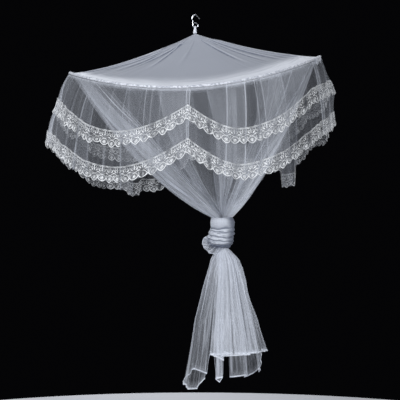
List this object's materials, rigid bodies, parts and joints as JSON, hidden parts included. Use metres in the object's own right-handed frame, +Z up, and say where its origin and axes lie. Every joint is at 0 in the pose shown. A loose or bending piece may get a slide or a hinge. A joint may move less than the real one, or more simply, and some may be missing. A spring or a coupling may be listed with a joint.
{
  "type": "mosquito net canopy with hoop and hook",
  "caption": "Round mosquito net canopy: a hook, a sprung hoop, a pleated roof, a festooned lace valance and a net curtain tied in a knot.",
  "frame": {"origin": "inside of the hook's bend, where a ceiling ring bears on it", "axes": "+Z up along the hanging line, -Y towards the front where the valance has its middle peak, +X to the viewer's right"},
  "size_m": [1.155, 1.1606, 1.5035],
  "materials": {
    "hook_steel": "bright bent wire",
    "tape_cloth": "close woven white tape",
    "roof_cloth": "fine white cloth, nearly opaque",
    "rod_plastic": "plain flexible rod",
    "net": "sheer white netting",
    "lace": "white machine lace on net"
  },
  "bodies": {
    "root": {"hook": "hook_steel", "tab": "tape_cloth", "roof": "roof_cloth", "hoop": "rod_plastic", "casing": "tape_cloth", "valance": "net", "upper_lace": "lace", "lower_lace": "lace", "draw_tape": "tape_cloth", "curtain": "net"}
  },
  "joints": []
}
